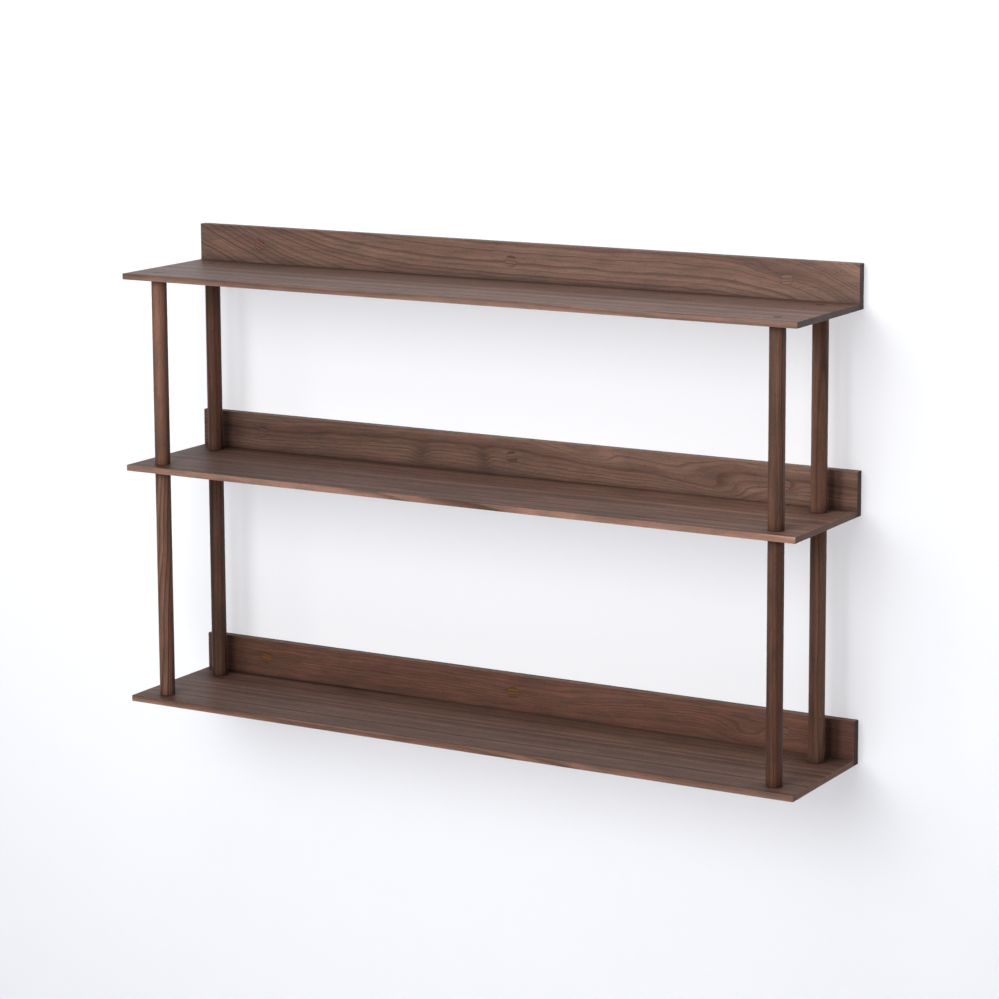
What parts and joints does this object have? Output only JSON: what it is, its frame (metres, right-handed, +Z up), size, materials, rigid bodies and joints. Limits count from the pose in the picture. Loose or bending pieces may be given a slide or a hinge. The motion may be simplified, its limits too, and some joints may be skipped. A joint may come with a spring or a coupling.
{
  "type": "wall shelf",
  "caption": "Tiered wall shelf in walnut: thin boards butted to upstanding back rails, joined by round posts, screwed to the wall through plugged holes.",
  "frame": {"origin": "middle of the top rail's back face, on the wall plane", "axes": "+X along the shelf to the viewer's right, +Y into the wall (the front faces -Y), +Z up"},
  "size_m": [1.2, 0.235, 0.772],
  "materials": {
    "board_walnut": "oiled American walnut, satin, planed and sanded, eased edges",
    "rail_walnut": "oiled American walnut, satin, figured face grain",
    "post_walnut": "oiled American walnut, turned, straight grain",
    "plug_walnut": "oiled walnut face-grain plug, sanded flush",
    "dowel_walnut": "oiled walnut end grain, sanded flush",
    "dowel_beech": "plain beech, hidden",
    "screw_steel": "bright zinc-plated steel"
  },
  "bodies": {
    "root": {"bottom_board": "board_walnut", "bottom_rail": "rail_walnut", "bottom_board_dowel_front_left": "dowel_walnut", "bottom_board_dowel_front_right": "dowel_walnut", "bottom_board_dowel_rear_left": "dowel_walnut", "bottom_board_dowel_rear_right": "dowel_walnut", "bottom_rail_dowel_1": "dowel_beech", "bottom_rail_dowel_2": "dowel_beech", "bottom_rail_dowel_3": "dowel_beech", "bottom_rail_dowel_4": "dowel_beech", "bottom_rail_dowel_5": "dowel_beech", "bottom_rail_screw_left": "screw_steel", "bottom_rail_plug_left": "plug_walnut", "bottom_rail_screw_centre": "screw_steel", "bottom_rail_plug_centre": "plug_walnut", "bottom_rail_screw_right": "screw_steel", "bottom_rail_plug_right": "plug_walnut", "middle_board": "board_walnut", "middle_rail": "rail_walnut", "middle_board_dowel_front_left": "dowel_walnut", "middle_board_dowel_front_right": "dowel_walnut", "middle_board_dowel_rear_left": "dowel_walnut", "middle_board_dowel_rear_right": "dowel_walnut", "middle_rail_dowel_1": "dowel_beech", "middle_rail_dowel_2": "dowel_beech", "middle_rail_dowel_3": "dowel_beech", "middle_rail_dowel_4": "dowel_beech", "middle_rail_dowel_5": "dowel_beech", "middle_rail_screw_left": "screw_steel", "middle_rail_plug_left": "plug_walnut", "middle_rail_screw_centre": "screw_steel", "middle_rail_plug_centre": "plug_walnut", "middle_rail_screw_right": "screw_steel", "middle_rail_plug_right": "plug_walnut", "top_board": "board_walnut", "top_rail": "rail_walnut", "top_board_dowel_front_left": "dowel_walnut", "top_board_dowel_front_right": "dowel_walnut", "top_board_dowel_rear_left": "dowel_walnut", "top_board_dowel_rear_right": "dowel_walnut", "top_rail_dowel_1": "dowel_beech", "top_rail_dowel_2": "dowel_beech", "top_rail_dowel_3": "dowel_beech", "top_rail_dowel_4": "dowel_beech", "top_rail_dowel_5": "dowel_beech", "top_rail_screw_left": "screw_steel", "top_rail_plug_left": "plug_walnut", "top_rail_screw_centre": "screw_steel", "top_rail_plug_centre": "plug_walnut", "top_rail_screw_right": "screw_steel", "top_rail_plug_right": "plug_walnut", "lower_post_front_left": "post_walnut", "lower_post_front_right": "post_walnut", "lower_post_rear_left": "post_walnut", "lower_post_rear_right": "post_walnut", "upper_post_front_left": "post_walnut", "upper_post_front_right": "post_walnut", "upper_post_rear_left": "post_walnut", "upper_post_rear_right": "post_walnut"}
  },
  "joints": []
}
